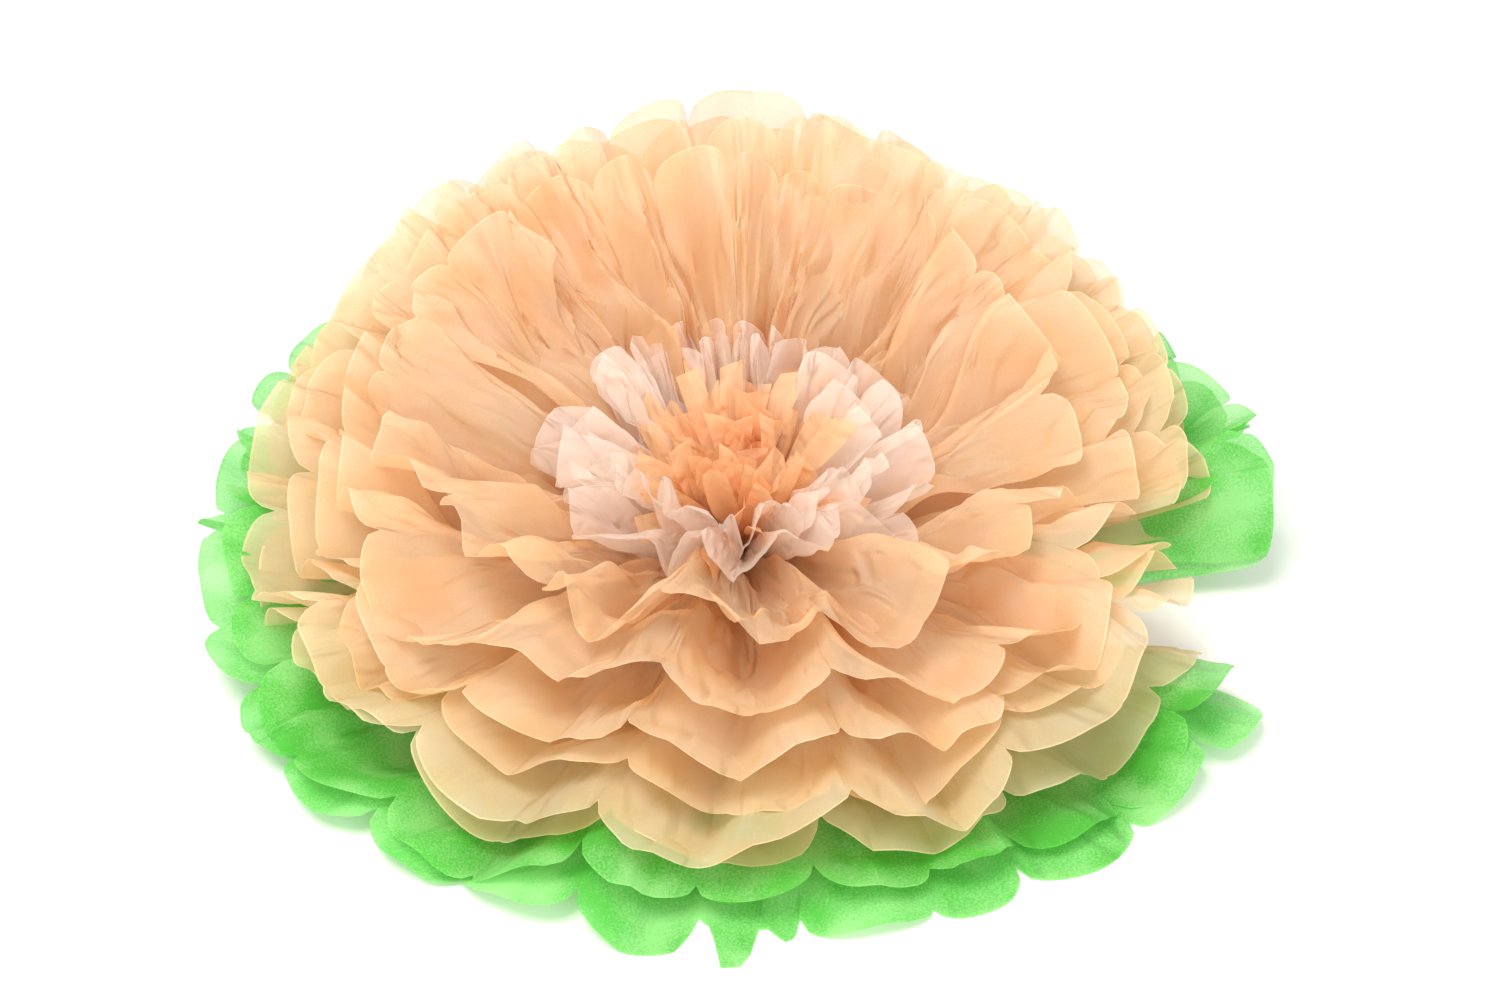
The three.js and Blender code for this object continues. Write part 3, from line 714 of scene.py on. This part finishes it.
def steel_wire():
    """Drawn steel with fine marks."""
    material = bpy.data.materials.new("tie_wire_steel")
    node, link = graph(material)
    where = node("ShaderNodeTexCoord")
    drawn = node("ShaderNodeTexNoise", Scale=1800.0, Detail=3.0)
    link(where.outputs["Object"], drawn.inputs["Vector"])
    ramp = colour_ramp(node, [(0.3, (0.45, 0.45, 0.43)), (0.7, (0.75, 0.75, 0.72))])
    link(drawn.outputs["Fac"], ramp.inputs["Fac"])
    rough = node("ShaderNodeMapRange")
    rough.inputs["To Min"].default_value = 0.25
    rough.inputs["To Max"].default_value = 0.5
    link(drawn.outputs["Fac"], rough.inputs["Value"])
    bump = node("ShaderNodeBump", Strength=0.2, Distance=0.00005)
    link(drawn.outputs["Fac"], bump.inputs["Height"])
    metal = node("ShaderNodeBsdfPrincipled", Metallic=1.0)
    link(ramp.outputs["Color"], metal.inputs["Base Color"])
    link(rough.outputs["Result"], metal.inputs["Roughness"])
    link(bump.outputs["Normal"], metal.inputs["Normal"])
    link(metal.outputs[0], node("ShaderNodeOutputMaterial").inputs["Surface"])
    return material


# Pale and deep colour, colour of the painted shade at the root, tint of the light through it, tint and share
# of the sight through it, and whether light passes between the fibres as well
PAPERS = {
    "leaf": tissue("leaf_tissue", (0.42, 0.84, 0.34), (0.14, 0.64, 0.09), (0.8, 0.97, 0.8),
                   (0.7, 1.0, 0.6), (0.86, 1.0, 0.86), 0.26),
    "petal": tissue("petal_tissue", (0.995, 0.86, 0.64), (0.99, 0.79, 0.50), (1.0, 0.88, 0.74),
                    (1.0, 0.84, 0.67), (1.0, 0.91, 0.88), 0.42),
    "ring": tissue("ring_tissue", (0.998, 0.95, 0.91), (0.995, 0.92, 0.86), (1.0, 0.94, 0.86),
                   (1.0, 0.94, 0.88), (1.0, 0.97, 0.95), 0.38, True),
    "heart": tissue("heart_tissue", (0.995, 0.78, 0.53), (0.99, 0.69, 0.42), (1.0, 0.85, 0.7),
                    (1.0, 0.84, 0.64), (1.0, 0.94, 0.88), 0.24, True),
}

# Pieces

for index, sh in enumerate(SHEETS):
    piece = heart_sheet(index) if sh["kind"] == "heart" else broad_sheet(index)
    piece.data.materials.append(PAPERS[sh["kind"]])
    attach(piece, "root")
    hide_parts(sh["name"])

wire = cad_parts["tie_wire"]
wire.data.materials.clear()
wire.data.materials.append(steel_wire())

# Floor, light and camera, in metres

FLOOR_REACH = 6
FLOOR_HEIGHT = -0.0004
FLOOR_COLOUR = (0.93, 0.93, 0.93, 1)
STUDIO_COLOUR = (1.0, 0.99, 0.98, 1)
STUDIO_STRENGTH = 0.85
LAMP_COLOUR = (1.0, 0.965, 0.92)

PHOTO_WIDTH, PHOTO_HEIGHT = 1500, 1000
SENSOR_WIDTH = 36
CAMERA_DISTANCE = 1.2
CAMERA_ELEVATION = math.radians(38)
FOCUS_PIXELS = 2640
BASE_PIXEL = (740, 560)


def make_floor():
    corners = [(-FLOOR_REACH, -FLOOR_REACH), (FLOOR_REACH, -FLOOR_REACH), (FLOOR_REACH, FLOOR_REACH),
               (-FLOOR_REACH, FLOOR_REACH)]
    floor_mesh = bpy.data.meshes.new("floor")
    floor_mesh.from_pydata([(x, y, 0) for x, y in corners], [], [(0, 1, 2, 3)])
    floor = bpy.data.objects.new("floor", floor_mesh)
    bpy.context.scene.collection.objects.link(floor)
    floor.location.z = FLOOR_HEIGHT
    floor_material = bpy.data.materials.new("floor_pale")
    node, link = graph(floor_material)
    shade = node("ShaderNodeBsdfDiffuse", Color=FLOOR_COLOUR)
    link(shade.outputs[0], node("ShaderNodeOutputMaterial").inputs["Surface"])
    floor_mesh.materials.append(floor_material)


def make_world():
    """Even studio light, seen as white where nothing stands before it."""
    world = bpy.data.worlds.new("studio")
    bpy.context.scene.world = world
    node, link = graph(world)
    path = node("ShaderNodeLightPath")
    seen = node("ShaderNodeBackground", Color=(1, 1, 1, 1), Strength=1.0)
    lit = node("ShaderNodeBackground", Color=STUDIO_COLOUR, Strength=STUDIO_STRENGTH)
    pick = node("ShaderNodeMixShader")
    link(path.outputs["Is Camera Ray"], pick.inputs["Fac"])
    link(lit.outputs[0], pick.inputs[1])
    link(seen.outputs[0], pick.inputs[2])
    link(pick.outputs[0], node("ShaderNodeOutputWorld").inputs["Surface"])


def area_light(name, place, size, power, aim=(0, 0, 0.05)):
    data = bpy.data.lights.new(name, "AREA")
    data.shape = "DISK"
    data.size = size
    data.energy = power
    data.color = LAMP_COLOUR
    light = bpy.data.objects.new(name, data)
    bpy.context.scene.collection.objects.link(light)
    light.location = place
    light.rotation_euler = (Vector(aim) - Vector(place)).to_track_quat("-Z", "Y").to_euler()


def make_camera():
    """A camera at the photograph's angle, with the waist at the base pixel."""
    data = bpy.data.cameras.new("camera")
    data.sensor_width = SENSOR_WIDTH
    data.lens = FOCUS_PIXELS / PHOTO_WIDTH * SENSOR_WIDTH
    data.shift_x = (PHOTO_WIDTH / 2 - BASE_PIXEL[0]) / PHOTO_WIDTH
    data.shift_y = (BASE_PIXEL[1] - PHOTO_HEIGHT / 2) / PHOTO_WIDTH
    data.clip_start = 0.05
    camera = bpy.data.objects.new("camera", data)
    bpy.context.scene.collection.objects.link(camera)
    camera.location = (
        SHIFT[0] / 1000,
        SHIFT[1] / 1000 - CAMERA_DISTANCE * math.cos(CAMERA_ELEVATION),
        WAIST_HEIGHT / 1000 + CAMERA_DISTANCE * math.sin(CAMERA_ELEVATION),
    )
    camera.rotation_euler = (math.pi / 2 - CAMERA_ELEVATION, 0, 0)
    bpy.context.scene.camera = camera


make_floor()
make_world()
area_light("key", (-0.35, -0.55, 1.45), 0.8, 19)
area_light("fill", (0.3, -1.6, 0.7), 1.2, 9)
make_camera()
bpy.context.scene.view_settings.view_transform = "Standard"
